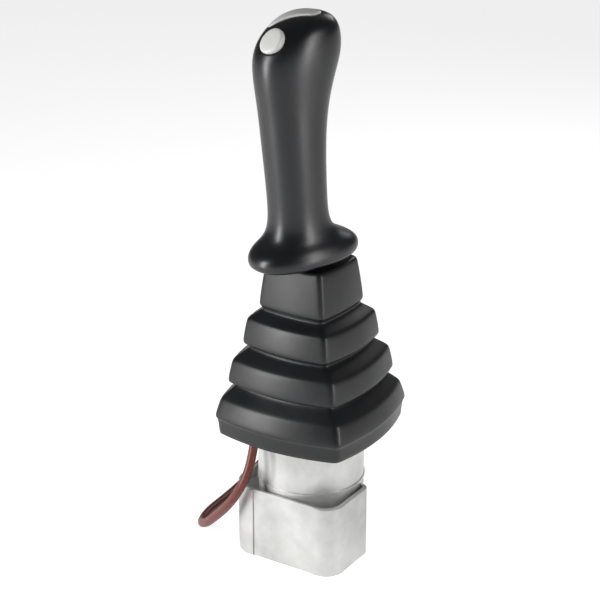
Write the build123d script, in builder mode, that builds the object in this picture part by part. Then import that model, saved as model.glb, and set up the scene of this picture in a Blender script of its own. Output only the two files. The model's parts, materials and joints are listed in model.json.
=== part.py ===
from build123d import *
from math import cos, pi, radians, sin, tan
import os

# Hydraulic pilot joystick valve, +Z up, millimetres and degrees.
# The origin is the centre of the valve body's base face, under the lever's pivot.

# Valve body: a cast block below, a turned round above it
BODY_HEIGHT = 88
ROUND_DIAMETER = 70
LIP_HEIGHT, LIP_PROUD = 1.8, 0.6
BLOCK_TOP = 49
BLOCK_HALF_WIDTH = 40.5
BLOCK_FRONT, BLOCK_BACK = -38.8, 8
BLOCK_SOFT_CORNER, BLOCK_BOSS_CORNER, BLOCK_BACK_CORNER = 18, 13, 5
MILLED_LEFT, MILLED_RIGHT, MILLED_DEPTH = -21, 25, 0.8
POCKET_RIM, POCKET_DEPTH = 2.6, 7

# Plunger columns: four identical sets on one pitch circle
PLUNGER_RADIUS = 22
COLUMNS = {"right": (1, 0), "rear": (0, 1), "left": (-1, 0), "front": (0, -1)}
BUSH_DIAMETER, BUSH_BOTTOM, BUSH_TOP = 17, 74, 99
CHAMBER_DIAMETER, CHAMBER_BOTTOM = 15.6, 36
SPOOL_DIAMETER = 7
PORT_DIAMETER, PORT_DEPTH = 13.16, 13
SUPPLY_PORT, TANK_PORT = (-19, -28.5), (19, -28.5)
SUPPLY_GALLERY_Z, TANK_GALLERY_Z, GALLERY_DIAMETER = 19, 29, 4
RUNNING_GAP = 0.03

# Mounting flange
FLANGE_SIZE, FLANGE_THICKNESS, FLANGE_CORNER = 81, 8, 9
FLANGE_BOTTOM = BODY_HEIGHT
FLANGE_TOP = FLANGE_BOTTOM + FLANGE_THICKNESS
MOUNT_SPACING, MOUNT_HOLE = 66, 6.6
BODY_SCREW_RADIUS, BODY_SCREW = 26.5, 5

# Universal joint and lever
PIVOT_Z = 117
STEM_DIAMETER, STEM_BOTTOM = 12, 76
EAR_GAP, EAR_THICKNESS, EAR_RADIUS = 14, 4, 6
PIN_DIAMETER, CROSS_SIZE = 6, 12
FORK_DEPTH = 10.4
DISC_RADIUS, DISC_THICKNESS, DISC_BORE_RADIUS = 27.5, 3.5, 14.2
LEVER_DIAMETER = 12
LEVER_BEND_Z, LEVER_TOP_Z = 150, 268
LEVER_LEAN = 7.4

# Plungers rest this far under the disc
PLUNGER_DIAMETER, PLUNGER_TIP_RADIUS, PLUNGER_GAP = 8, 4, 0.8
PLUNGER_TOP = PIVOT_Z - PLUNGER_GAP
SEAT_TOP, SEAT_BOTTOM, SEAT_DIAMETER = 64.5, 58, 14.6

# Handle: it is turned about the vertical, and its front leans over the console
HANDLE_YAW = -21
WALL = 3
# Each grip section: height, centre (front negative), half width, half depth, tilt
GRIP_SECTIONS = [
    (204.5, -6.4, 22.5, 36.0, 3),
    (208.5, -6.4, 24.2, 38.2, 3),
    (214.0, -6.8, 23.8, 37.4, 3),
    (219.5, -8.2, 20.5, 29.5, 3),
    (227.0, -9.8, 17.6, 21.8, 2),
    (240.0, -11.0, 16.4, 19.4, 1),
    (262.0, -12.6, 16.5, 19.6, 0),
    (285.0, -14.3, 17.0, 20.6, 0),
    (305.0, -14.6, 17.6, 22.6, 0),
    (322.0, -14.0, 18.8, 26.2, 0),
    (336.0, -12.0, 20.0, 29.2, 0),
    (346.0, -9.8, 19.8, 27.2, 0),
    (354.0, -6.6, 18.4, 22.2, 0),
    (359.5, -3.6, 15.0, 15.6, 0),
    (362.0, -1.6, 9.8, 9.2, 0),
]
DOME_START = 340
GRIP_SQUARENESS = 2.3
SEAM = 0.05

# Thumb button and crest rocker, in the handle's own frame
BUTTON_DIAMETER, BUTTON_TRAVEL = 17, 2
BUTTON_CENTRE = (3.5, -32.9, 349.0)
BUTTON_ELEVATION = 40
BUTTON_SKIRT, BUTTON_HEIGHT = 5.4, 6.2
BUTTON_SEAT_DEPTH = BUTTON_SKIRT + BUTTON_TRAVEL + 0.3
ROCKER_CENTRE = (-3, -12.8, 359.6)
ROCKER_SPIN, ROCKER_PITCH, ROCKER_ROLL = 62, 22, -10
ROCKER_HEIGHT, ROCKER_THICKNESS = 0.8, 2.6
ROCKER_PIN_DEPTH, ROCKER_PIN_DIAMETER = 4.6, 2.5
ROCKER_WEB, ROCKER_EARS = 3.2, 7.6

# Boot: height, half width at the corners, bow of each side, corner radius and twist
BOOT_WALL = 2
BOOT_FOLDS = [
    (88.0, 44.0, 7.0, 6, 2),
    (98.0, 44.8, 7.0, 6, 2),
    (100.0, 46.2, 7.0, 6, 2),
    (112.0, 43.2, 6.8, 6, 2),
    (119.5, 36.0, 5.6, 5, 1),
    (121.5, 35.4, 5.6, 5, 1),
    (123.0, 39.8, 6.0, 5, 1),
    (138.0, 37.4, 5.6, 5, 1),
    (144.5, 29.6, 4.4, 4.5, 0),
    (146.5, 29.0, 4.2, 4.5, -1),
    (148.5, 32.4, 4.4, 4.5, -2),
    (165.0, 30.2, 3.8, 4.5, -2),
    (170.0, 23.6, 2.4, 4, -2),
    (172.0, 23.0, 2.2, 4, -2),
    (174.5, 24.8, 2.2, 4, -2),
    (203.0, 21.6, 1.6, 4, -3),
]

# Signal cable: it drops beside the body, turns on the floor and is put away as a coil
CABLE_DIAMETER = 6
CABLE_REST_Z = CABLE_DIAMETER / 2 + 0.1
GROMMET_RADIUS = 4.4
CABLE_EXIT = (-20.1, -36.6, FLANGE_BOTTOM - 2)
CABLE_ROUTE = [
    CABLE_EXIT,
    (-20.3, -39.5, 75.0),
    (-21.3, -43.0, 64.0),
    (-24.5, -46.0, 54.0),
    (-31.0, -46.5, 43.0),
    (-40.0, -44.0, 31.5),
    (-51.5, -39.5, 20.0),
    (-63.0, -33.5, 9.0),
    (-73.0, -26.0, CABLE_REST_Z),
    (-78.0, -10.0, CABLE_REST_Z),
    (-79.0, 12.0, CABLE_REST_Z),
    (-81.5, 38.0, CABLE_REST_Z),
    (-86.5, 64.0, CABLE_REST_Z),
    (-87.0, 88.0, CABLE_REST_Z),
]
COIL_CENTRE, COIL_RADIUS, COIL_TURNS = (-57, 88), 30, 2.5
COIL_BREADTH, COIL_HEIGHT = 14, 13
TAIL_ROUTE = [
    (-27.0, 88.0, CABLE_REST_Z),
    (-26.4, 78.5, CABLE_REST_Z + 1.0),
    (-24.4, 68.5, CABLE_REST_Z + 3.0),
    (-23.6, 58.5, CABLE_REST_Z + 3.9),
]

os.makedirs("parts", exist_ok=True)


def save(name, part):
    """Write one labelled piece as its own STEP file."""
    part.label = name
    export_step(part, f"parts/{name}.step")


def column_centre(side):
    """The plan position of one plunger column."""
    across, along = COLUMNS[side]
    return (across * PLUNGER_RADIUS, along * PLUNGER_RADIUS)


def handle_point(point):
    """A point of the handle's frame in the part's frame."""
    across, back, up = point
    turn = radians(HANDLE_YAW)
    return (across * cos(turn) - back * sin(turn), across * sin(turn) + back * cos(turn), up)


def handle_vector(vector):
    """A direction of the handle's frame in the part's frame."""
    return handle_point(vector)


def handle_level(height, back, tilt):
    """The plane of one grip section, rising to the back by the tilt."""
    slope = radians(tilt)
    return Plane(
        origin=handle_point((0, back, height)),
        x_dir=handle_vector((1, 0, 0)),
        z_dir=handle_vector((0, -sin(slope), cos(slope))),
    )


def button_plane():
    """The seat of the round button, its normal pointing out of the head."""
    rise = radians(BUTTON_ELEVATION)
    return Plane(
        origin=handle_point(BUTTON_CENTRE),
        x_dir=handle_vector((1, 0, 0)),
        z_dir=handle_vector((0, -cos(rise), sin(rise))),
    )


def rocker_plane():
    """The seat of the crest rocker: long way along x, normal out of the head."""
    spin = radians(ROCKER_SPIN)
    pitch = radians(ROCKER_PITCH)
    roll = radians(ROCKER_ROLL)
    normal = Vector(sin(roll), -sin(pitch) * cos(roll), cos(pitch) * cos(roll))
    along = Vector(cos(spin), sin(spin), 0)
    along = along - normal * along.dot(normal)
    return Plane(
        origin=handle_point(ROCKER_CENTRE),
        x_dir=handle_vector(tuple(along)),
        z_dir=handle_vector(tuple(normal)),
    )


def drill_between(start, end, diameter):
    """A straight drilling from one point to another, for cutting from a casting."""
    path = Vector(*end) - Vector(*start)
    with BuildPart(Plane(origin=start, z_dir=path), mode=Mode.PRIVATE) as drilling:
        Cylinder(diameter / 2, path.length, align=(Align.CENTER, Align.CENTER, Align.MIN))
    return drilling.part


# ---- Valve body and flange ----


def block_outline(inset):
    """The cast block's plan: soft front left corner, round boss on the right, small back corners."""
    side = BLOCK_HALF_WIDTH - inset
    with BuildSketch() as outline:
        with BuildLine():
            Polyline(
                (-side, BLOCK_FRONT + inset),
                (side, BLOCK_FRONT + inset),
                (side, BLOCK_BACK - inset),
                (-side, BLOCK_BACK - inset),
                close=True,
            )
        make_face()
        for end, corner in ((0, BLOCK_SOFT_CORNER), (-1, BLOCK_BOSS_CORNER)):
            front_corners = outline.vertices().group_by(Axis.Y)[0].sort_by(Axis.X)
            fillet(front_corners[end], corner - inset)
        fillet(outline.vertices().group_by(Axis.Y)[-1], BLOCK_BACK_CORNER - inset)
    return outline.sketch


def make_valve_body():
    with BuildPart() as valve_body:
        with BuildSketch():
            add(block_outline(0))
        extrude(amount=BLOCK_TOP)
        rim = valve_body.edges().group_by(Axis.Z)[-1]
        chamfer(rim, 0.6)
        # The front is milled flat between two steps
        with BuildSketch(Plane.XY):
            with Locations(((MILLED_LEFT + MILLED_RIGHT) / 2, BLOCK_FRONT)):
                Rectangle(MILLED_RIGHT - MILLED_LEFT, 2 * MILLED_DEPTH)
        extrude(amount=BLOCK_TOP, mode=Mode.SUBTRACT)
        with BuildSketch(Plane.XY.offset(BLOCK_TOP)):
            add(block_outline(POCKET_RIM))
        extrude(amount=-POCKET_DEPTH, mode=Mode.SUBTRACT)
        with BuildSketch():
            Circle(ROUND_DIAMETER / 2)
        extrude(amount=BODY_HEIGHT)
        # The turned part ends in a narrow raised lip above the pocket
        with BuildSketch(Plane.XY.offset(BLOCK_TOP + 2)):
            Circle(ROUND_DIAMETER / 2 + LIP_PROUD)
        extrude(amount=LIP_HEIGHT)
        # Bush seat, spring chamber, spool bore and work port of each column
        for side in COLUMNS:
            x, y = column_centre(side)
            with Locations((x, y, BODY_HEIGHT)):
                Hole(BUSH_DIAMETER / 2, BODY_HEIGHT - BUSH_BOTTOM)
                Hole(CHAMBER_DIAMETER / 2, BODY_HEIGHT - CHAMBER_BOTTOM)
                Hole(SPOOL_DIAMETER / 2, BODY_HEIGHT)
        with BuildSketch(Plane.XY):
            with PolarLocations(PLUNGER_RADIUS, 4):
                Circle(PORT_DIAMETER / 2)
            with Locations(SUPPLY_PORT, TANK_PORT):
                Circle(PORT_DIAMETER / 2)
        extrude(amount=PORT_DEPTH, mode=Mode.SUBTRACT)
        # Supply and tank galleries: crossed drillings that meet every spool bore
        for gallery_z in (SUPPLY_GALLERY_Z, TANK_GALLERY_Z):
            for mouth, end in (
                ((-BLOCK_HALF_WIDTH - 1, 0), (PLUNGER_RADIUS, 0)),
                ((0, ROUND_DIAMETER / 2 + 1), (0, -PLUNGER_RADIUS)),
            ):
                add(drill_between((*mouth, gallery_z), (*end, gallery_z), GALLERY_DIAMETER),
                    mode=Mode.SUBTRACT)
        for port, gallery_z in ((SUPPLY_PORT, SUPPLY_GALLERY_Z), (TANK_PORT, TANK_GALLERY_Z)):
            mouth = (port[0], port[1], PORT_DEPTH - 1)
            add(drill_between(mouth, (0, -8, gallery_z), GALLERY_DIAMETER), mode=Mode.SUBTRACT)
        # Threaded seat of the universal joint, and the flange screws' holes
        with Locations((0, 0, BODY_HEIGHT)):
            Hole(STEM_DIAMETER / 2, BODY_HEIGHT - STEM_BOTTOM)
            with PolarLocations(BODY_SCREW_RADIUS, 4, start_angle=45):
                Hole(BODY_SCREW / 2, 12)
    save("valve_body", valve_body.part)


def make_gallery_plugs():
    """Four screw plugs that close the galleries at the outer wall."""
    length, recess = 5, 0.4
    side = BLOCK_HALF_WIDTH - recess
    back = ROUND_DIAMETER / 2 - recess
    with BuildPart() as gallery_plugs:
        for gallery_z in (SUPPLY_GALLERY_Z, TANK_GALLERY_Z):
            for start, end in (
                ((-side, 0, gallery_z), (length - side, 0, gallery_z)),
                ((0, back, gallery_z), (0, back - length, gallery_z)),
            ):
                add(drill_between(start, end, GALLERY_DIAMETER))
    save("gallery_plugs", gallery_plugs.part)


def make_mounting_flange():
    with BuildPart() as mounting_flange:
        with BuildSketch(Plane.XY.offset(FLANGE_BOTTOM)):
            RectangleRounded(FLANGE_SIZE, FLANGE_SIZE, FLANGE_CORNER)
            with PolarLocations(PLUNGER_RADIUS, 4):
                Circle(BUSH_DIAMETER / 2, mode=Mode.SUBTRACT)
            Circle(STEM_DIAMETER / 2, mode=Mode.SUBTRACT)
            with GridLocations(MOUNT_SPACING, MOUNT_SPACING, 2, 2):
                Circle(MOUNT_HOLE / 2, mode=Mode.SUBTRACT)
            # The cable leaves through an open notch in the front edge
            with Locations((CABLE_EXIT[0], -FLANGE_SIZE / 2)):
                SlotCenterToCenter(2 * (FLANGE_SIZE / 2 + CABLE_EXIT[1]), 2 * GROMMET_RADIUS,
                                   rotation=90, mode=Mode.SUBTRACT)
        extrude(amount=FLANGE_THICKNESS)
        top = mounting_flange.faces().sort_by(Axis.Z)[-1]
        chamfer(top.outer_wire().edges(), 0.8)
        with Locations((0, 0, FLANGE_TOP)):
            with PolarLocations(BODY_SCREW_RADIUS, 4, start_angle=45):
                CounterBoreHole(BODY_SCREW / 2 + 0.2, 4.6, 5.4, FLANGE_THICKNESS)
    save("mounting_flange", mounting_flange.part)


def make_flange_screws():
    """Four socket-head screws that hold the flange on the body."""
    head_diameter, head_height, socket, shank = 8.5, 5, 4, 13
    with BuildPart() as flange_screws:
        with PolarLocations(BODY_SCREW_RADIUS, 4, start_angle=45):
            with Locations((0, 0, FLANGE_TOP - 5.4)):
                Cylinder(head_diameter / 2, head_height,
                         align=(Align.CENTER, Align.CENTER, Align.MIN))
                Cylinder(BODY_SCREW / 2, shank, align=(Align.CENTER, Align.CENTER, Align.MAX))
        with BuildSketch(Plane.XY.offset(FLANGE_TOP - 0.4)):
            with PolarLocations(BODY_SCREW_RADIUS, 4, start_angle=45):
                RegularPolygon(socket / 2, 6, major_radius=False)
        extrude(amount=-2.5, mode=Mode.SUBTRACT)
    save("flange_screws", flange_screws.part)


# ---- One plunger column, drawn on its own axis and placed four times ----


def turned(profile, centre):
    """Revolve a half profile of (radius, height) points about a vertical axis at the centre."""
    x, y = centre
    with BuildPart() as piece:
        with BuildSketch(Plane(origin=(x, y, 0), x_dir=(1, 0, 0), z_dir=(0, -1, 0))):
            with BuildLine():
                Polyline(*profile, close=True)
            make_face()
        revolve(axis=Axis((x, y, 0), (0, 0, 1)))
    return piece.part


def make_column(side):
    centre = column_centre(side)
    x, y = centre
    bush = BUSH_DIAMETER / 2
    rod = PLUNGER_DIAMETER / 2
    bore = rod + RUNNING_GAP
    # Bush with a seal groove on the outside and a wiper recess in its mouth
    save(f"bush_{side}", turned([
        (bore, BUSH_BOTTOM), (bush, BUSH_BOTTOM), (bush, 79), (bush - 1.4, 79),
        (bush - 1.4, 81.2), (bush, 81.2), (bush, BUSH_TOP - 1), (bush - 1, BUSH_TOP),
        (rod + 2.6, BUSH_TOP), (rod + 2.6, BUSH_TOP - 3.5), (bore, BUSH_TOP - 3.5),
    ], centre))
    # Plunger: a polished rod with a domed head and a spigot for the spring seat
    with BuildPart() as plunger:
        with Locations((x, y, SEAT_TOP)):
            Cylinder(rod, PLUNGER_TOP - PLUNGER_TIP_RADIUS - SEAT_TOP,
                     align=(Align.CENTER, Align.CENTER, Align.MIN))
        with Locations((x, y, PLUNGER_TOP - PLUNGER_TIP_RADIUS)):
            Sphere(PLUNGER_TIP_RADIUS)
        with Locations((x, y, SEAT_TOP)):
            Cylinder(2, 3, align=(Align.CENTER, Align.CENTER, Align.MAX))
    save(f"plunger_{side}", plunger.part)
    # Spring seat: a stepped cup, centring one spring on each diameter
    save(f"spring_seat_{side}", turned([
        (2, SEAT_TOP), (SEAT_DIAMETER / 2, SEAT_TOP), (SEAT_DIAMETER / 2, SEAT_TOP - 2),
        (5.2, SEAT_TOP - 2), (5.2, SEAT_BOTTOM), (3.9, SEAT_BOTTOM), (3.9, SEAT_TOP - 3),
        (2, SEAT_TOP - 3),
    ], centre))
    # Spool: a hung head above the bore, two lands and a reduced neck between them
    land = SPOOL_DIAMETER / 2 - RUNNING_GAP
    save(f"spool_{side}", turned([
        (0, 13.5), (land, 13.5), (land, 20), (land - 0.9, 20), (land - 0.9, 27),
        (land, 27), (land, 42), (2, 42), (2, 42.4), (5, 42.4), (5, 44), (2, 44),
        (2, 50), (0, 50),
    ], centre))


def make_springs(side):
    """The return spring round the control spring, as real open coils."""
    x, y = column_centre(side)
    for name, radius, wire, bottom, top, turns in (
        ("return_spring", 6.6, 1.5, CHAMBER_BOTTOM + 0.9, SEAT_TOP - 2.9, 5),
        ("control_spring", 4.4, 0.9, 44.5, SEAT_BOTTOM - 0.5, 4),
    ):
        span = top - bottom
        with BuildPart() as spring:
            with BuildLine() as coil:
                Helix(pitch=span / turns, height=span, radius=radius, center=(x, y, bottom))
            with BuildSketch(Plane(origin=coil.line @ 0, x_dir=(1, 0, 0), z_dir=coil.line % 0)):
                RegularPolygon(wire / 2, 8)
            sweep(is_frenet=True)
        save(f"{name}_{side}", spring.part)


def make_seals():
    """The bushes' O-rings and wipers, one group of each."""
    with BuildPart() as bush_seals:
        with PolarLocations(PLUNGER_RADIUS, 4):
            with Locations((0, 0, 80.1)):
                Torus(BUSH_DIAMETER / 2 - 0.71, 0.68)
    save("bush_seals", bush_seals.part)
    rod = PLUNGER_DIAMETER / 2
    with BuildPart() as plunger_wipers:
        with PolarLocations(PLUNGER_RADIUS, 4):
            with Locations((0, 0, BUSH_TOP - 3.4)):
                Cylinder(rod + 2.5, 3.6, align=(Align.CENTER, Align.CENTER, Align.MIN))
                Cylinder(rod + 0.05, 3.6, align=(Align.CENTER, Align.CENTER, Align.MIN),
                         mode=Mode.SUBTRACT)
    save("plunger_wipers", plunger_wipers.part)


# ---- Universal joint, actuating disc and lever ----


def make_joint_base():
    """The lower fork: its ears stand at both ends of the X pin."""
    base_top = PIVOT_Z - FORK_DEPTH
    outer = EAR_GAP / 2 + EAR_THICKNESS
    with BuildPart() as joint_base:
        with BuildSketch(Plane.XY.offset(STEM_BOTTOM)):
            Circle(STEM_DIAMETER / 2)
        extrude(amount=FLANGE_TOP - STEM_BOTTOM)
        with BuildSketch(Plane.XY.offset(FLANGE_TOP)):
            RegularPolygon(9, 6, major_radius=False)
        extrude(amount=5)
        # The fork is drawn along the pin, then its throat is cut away
        with BuildSketch(Plane.YZ.offset(-outer)):
            with Locations((0, PIVOT_Z)):
                Circle(EAR_RADIUS)
            with Locations((0, (FLANGE_TOP + 5 + PIVOT_Z) / 2)):
                Rectangle(2 * EAR_RADIUS, PIVOT_Z - FLANGE_TOP - 5)
        extrude(amount=2 * outer)
        with BuildSketch(Plane.XZ.offset(-2 * EAR_RADIUS)):
            with Locations((0, base_top)):
                Rectangle(EAR_GAP, 40, align=(Align.CENTER, Align.MIN))
        extrude(amount=4 * EAR_RADIUS, mode=Mode.SUBTRACT)
        with BuildSketch(Plane.YZ.offset(-outer)):
            with Locations((0, PIVOT_Z)):
                Circle(PIN_DIAMETER / 2 + RUNNING_GAP)
        extrude(amount=2 * outer, mode=Mode.SUBTRACT)
        # Keep the fork within the hexagon's round
        with BuildSketch(Plane.XY.offset(STEM_BOTTOM)):
            Circle(outer + 1.2)
        extrude(amount=60, mode=Mode.INTERSECT)
    save("joint_base", joint_base.part)


def make_joint_cross():
    """The cross block and its pins: one long pin across X, two stubs along Y."""
    reach = EAR_GAP / 2 + EAR_THICKNESS - 0.3
    pin = PIN_DIAMETER / 2
    with BuildPart() as joint_cross:
        with Locations((0, 0, PIVOT_Z)):
            Box(CROSS_SIZE, CROSS_SIZE, CROSS_SIZE)
            chamfer(joint_cross.edges(), 1)
            Cylinder(pin, CROSS_SIZE, rotation=(0, 90, 0), mode=Mode.SUBTRACT)
            Cylinder(pin, CROSS_SIZE, rotation=(90, 0, 0), mode=Mode.SUBTRACT)
    save("joint_cross", joint_cross.part)
    with BuildPart() as joint_pins:
        with Locations((0, 0, PIVOT_Z)):
            Cylinder(pin, 2 * reach, rotation=(0, 90, 0))
        with Locations((0, (reach + pin + 0.1) / 2, PIVOT_Z), (0, -(reach + pin + 0.1) / 2, PIVOT_Z)):
            Cylinder(pin, reach - pin - 0.1, rotation=(90, 0, 0))
    save("joint_pins", joint_pins.part)


def make_joint_yoke():
    """The upper fork: its ears hang at both ends of the Y pins, under a threaded stud."""
    outer = EAR_GAP / 2 + EAR_THICKNESS
    bridge = PIVOT_Z + FORK_DEPTH
    with BuildPart() as joint_yoke:
        with BuildSketch(Plane.XZ.offset(-outer)):
            with Locations((0, PIVOT_Z)):
                Circle(EAR_RADIUS)
                Rectangle(2 * EAR_RADIUS, FORK_DEPTH + 4, align=(Align.CENTER, Align.MIN))
        extrude(amount=2 * outer)
        with BuildSketch(Plane.YZ.offset(-2 * EAR_RADIUS)):
            with Locations((0, bridge)):
                Rectangle(EAR_GAP, 40, align=(Align.CENTER, Align.MAX))
        extrude(amount=4 * EAR_RADIUS, mode=Mode.SUBTRACT)
        with BuildSketch(Plane.XZ.offset(-outer)):
            with Locations((0, PIVOT_Z)):
                Circle(PIN_DIAMETER / 2 + RUNNING_GAP)
        extrude(amount=2 * outer, mode=Mode.SUBTRACT)
        with BuildSketch(Plane.XY.offset(PIVOT_Z - EAR_RADIUS - 1)):
            Circle(outer + 1.4)
        extrude(amount=40, mode=Mode.INTERSECT)
        with BuildSketch(Plane.XY.offset(bridge + 4)):
            Circle(5)
        extrude(amount=14)
    save("joint_yoke", joint_yoke.part)


def make_actuating_disc():
    """A cupped disc: its ring presses the plungers in the pivot's plane."""
    hub_z = PIVOT_Z + FORK_DEPTH + 4
    with BuildPart() as actuating_disc:
        with BuildSketch(Plane.XZ):
            with BuildLine():
                Polyline(
                    (DISC_BORE_RADIUS, PIVOT_Z),
                    (DISC_RADIUS, PIVOT_Z),
                    (DISC_RADIUS, PIVOT_Z + DISC_THICKNESS),
                    (DISC_BORE_RADIUS + 3.6, PIVOT_Z + DISC_THICKNESS + 0.6),
                    (DISC_BORE_RADIUS + 2.6, hub_z),
                    (9, hub_z + 3.6),
                    (5.02, hub_z + 3.6),
                    (5.02, hub_z),
                    (DISC_BORE_RADIUS - 0.2, hub_z),
                    close=True,
                )
            make_face()
        revolve(axis=Axis.Z)
    save("actuating_disc", actuating_disc.part)


def make_lever():
    """The disc's lock nut and the cranked lever rod above it."""
    nut_z = PIVOT_Z + FORK_DEPTH + 4 + 3.6
    with BuildPart() as lock_nut:
        with BuildSketch(Plane.XY.offset(nut_z)):
            RegularPolygon(8.5, 6, major_radius=False)
            Circle(5.02, mode=Mode.SUBTRACT)
        extrude(amount=6)
    save("lock_nut", lock_nut.part)
    rod_z = nut_z + 6
    rise = LEVER_TOP_Z - LEVER_BEND_Z
    top = handle_point((0, -rise * tan(radians(LEVER_LEAN)), LEVER_TOP_Z))
    with BuildPart() as lever_rod:
        with BuildLine() as path:
            FilletPolyline((0, 0, rod_z), (0, 0, LEVER_BEND_Z), top, radius=30)
        with BuildSketch(Plane(origin=(0, 0, rod_z), z_dir=(0, 0, 1))):
            Circle(LEVER_DIAMETER / 2)
        sweep(path=path.wires()[0])
        with Locations((0, 0, rod_z)):
            Cylinder(5.02, 5, align=(Align.CENTER, Align.CENTER, Align.MIN), mode=Mode.SUBTRACT)
    save("lever_rod", lever_rod.part)


def lever_station(height):
    """A plane across the leaning part of the lever, at a height."""
    lean = radians(LEVER_LEAN)
    back = -(height - LEVER_BEND_Z) * tan(lean)
    return Plane(
        origin=handle_point((0, back, height)),
        x_dir=handle_vector((1, 0, 0)),
        z_dir=handle_vector((0, -sin(lean), cos(lean))),
    )


def make_handle_hardware():
    """The jam nut and boot retainer under the hand rest, and the threaded insert in the grip."""
    with BuildPart() as jam_nut:
        with BuildSketch(lever_station(190)):
            RegularPolygon(9.5, 6, major_radius=False)
            Circle(LEVER_DIAMETER / 2, mode=Mode.SUBTRACT)
        extrude(amount=7)
    save("jam_nut", jam_nut.part)
    with BuildPart() as handle_insert:
        with BuildSketch(lever_station(209)):
            Circle(8.5)
            Circle(LEVER_DIAMETER / 2, mode=Mode.SUBTRACT)
        extrude(amount=42)
    save("handle_insert", handle_insert.part)


# ---- Grip, buttons and switches ----


def grip_section(half_width, half_depth, start=0, count=20):
    """Points round a superellipse, squarer than an ellipse, 20 to the whole turn."""
    points = []
    for step in range(count):
        angle = start + 2 * pi * step / 20
        c, s = cos(angle), sin(angle)
        power = 2 / GRIP_SQUARENESS
        px = half_width * abs(c) ** power * (1 if c >= 0 else -1)
        py = half_depth * abs(s) ** power * (1 if s >= 0 else -1)
        points.append((px, py))
    return points


def grip_loft(inset):
    """The grip's whole outer form, smaller all round by the inset."""
    with BuildPart(mode=Mode.PRIVATE) as form:
        for height, back, half_width, half_depth, tilt in GRIP_SECTIONS:
            level = height - inset if height > DOME_START else height
            with BuildSketch(handle_level(level, back, tilt)):
                with BuildLine():
                    Spline(*grip_section(half_width - inset, half_depth - inset), periodic=True)
                make_face()
        loft()
    return form.part


def half_grip_loft(side, inset, flat, sections):
    """One half of the grip's form, from its flat face at this distance off the middle plane."""
    with BuildPart(mode=Mode.PRIVATE) as form:
        for height, back, half_width, half_depth, tilt in sections:
            level = height - inset if height > DOME_START else height
            outline = grip_section(half_width - inset - flat, half_depth - inset, -pi / 2, 11)
            points = [(side * (px + flat), py) for px, py in outline]
            with BuildSketch(handle_level(level, back, tilt)):
                with BuildLine():
                    Spline(*points, tangents=[(side, 0), (-side, 0)])
                    Line(points[-1], points[0])
                make_face()
        loft(ruled=True)
    return form.part


def rocker_outline(margin):
    """The crest rocker's plan: a teardrop with one hollow side."""
    with BuildSketch() as outline:
        with BuildLine():
            ThreePointArc((-13.5, 3.4), (-2, 7.6), (9, 7.4))
            ThreePointArc((9, 7.4), (16, 0), (9, -7.4))
            ThreePointArc((9, -7.4), (-2, -4.4), (-13.5, -3.4))
            ThreePointArc((-13.5, -3.4), (-16.8, 0), (-13.5, 3.4))
        make_face()
        if margin:
            offset(amount=margin)
    return outline.sketch


def make_grip():
    """Two half shells that meet on the handle's middle plane."""
    first = GRIP_SECTIONS[0]
    inner_sections = [(first[0] + WALL, *first[1:])] + GRIP_SECTIONS[1:]
    for side, name in ((-1, "grip_left_shell"), (1, "grip_right_shell")):
        with BuildPart() as shell:
            add(half_grip_loft(side, 0, SEAM / 2, GRIP_SECTIONS))
            add(half_grip_loft(side, WALL, -1, inner_sections), mode=Mode.SUBTRACT)
            # The lever's way in, the button's seat and the rocker's seat
            with BuildSketch(lever_station(180)):
                Circle(LEVER_DIAMETER / 2 + 0.5)
            extrude(amount=50, mode=Mode.SUBTRACT)
            with BuildSketch(lever_station(207.6)):
                Circle(8.5)
            extrude(amount=60, mode=Mode.SUBTRACT)
            with BuildSketch(button_plane().offset(-BUTTON_SEAT_DEPTH)):
                Circle(BUTTON_DIAMETER / 2 + 0.25)
            extrude(amount=30, mode=Mode.SUBTRACT)
            with BuildSketch(rocker_plane().offset(-12)):
                add(rocker_outline(0.5))
            extrude(amount=30, mode=Mode.SUBTRACT)
        save(name, shell.part)


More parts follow.
